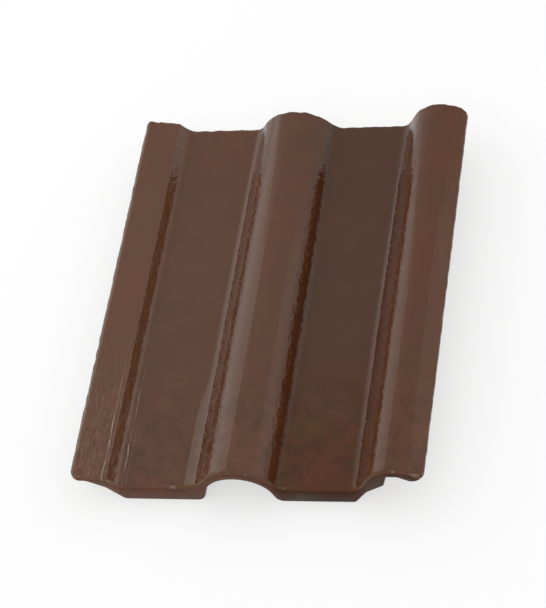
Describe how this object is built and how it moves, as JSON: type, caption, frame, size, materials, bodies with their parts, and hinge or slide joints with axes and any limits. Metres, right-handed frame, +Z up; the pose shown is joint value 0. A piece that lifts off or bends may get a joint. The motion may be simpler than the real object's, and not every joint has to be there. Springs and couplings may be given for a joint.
{
  "type": "roof tile",
  "caption": "Interlocking concrete roof tile with flat pans, a middle roll and a cover roll, a side underlap, a foot bar and hanging nibs, brown coated.",
  "frame": {"origin": "centre of the bounding box in plan, on the floor that the tile rests on", "axes": "+X across the tile from the underlap to the cover roll, +Y from the tail to the head, +Z up; the tile lies face up on its foot bar and nibs, its head raised by about one degree"},
  "size_m": [0.33, 0.4206, 0.0604],
  "materials": {
    "coated_concrete": "brown glossy coat on concrete"
  },
  "bodies": {
    "root": {"roof_tile": "coated_concrete"}
  },
  "joints": []
}
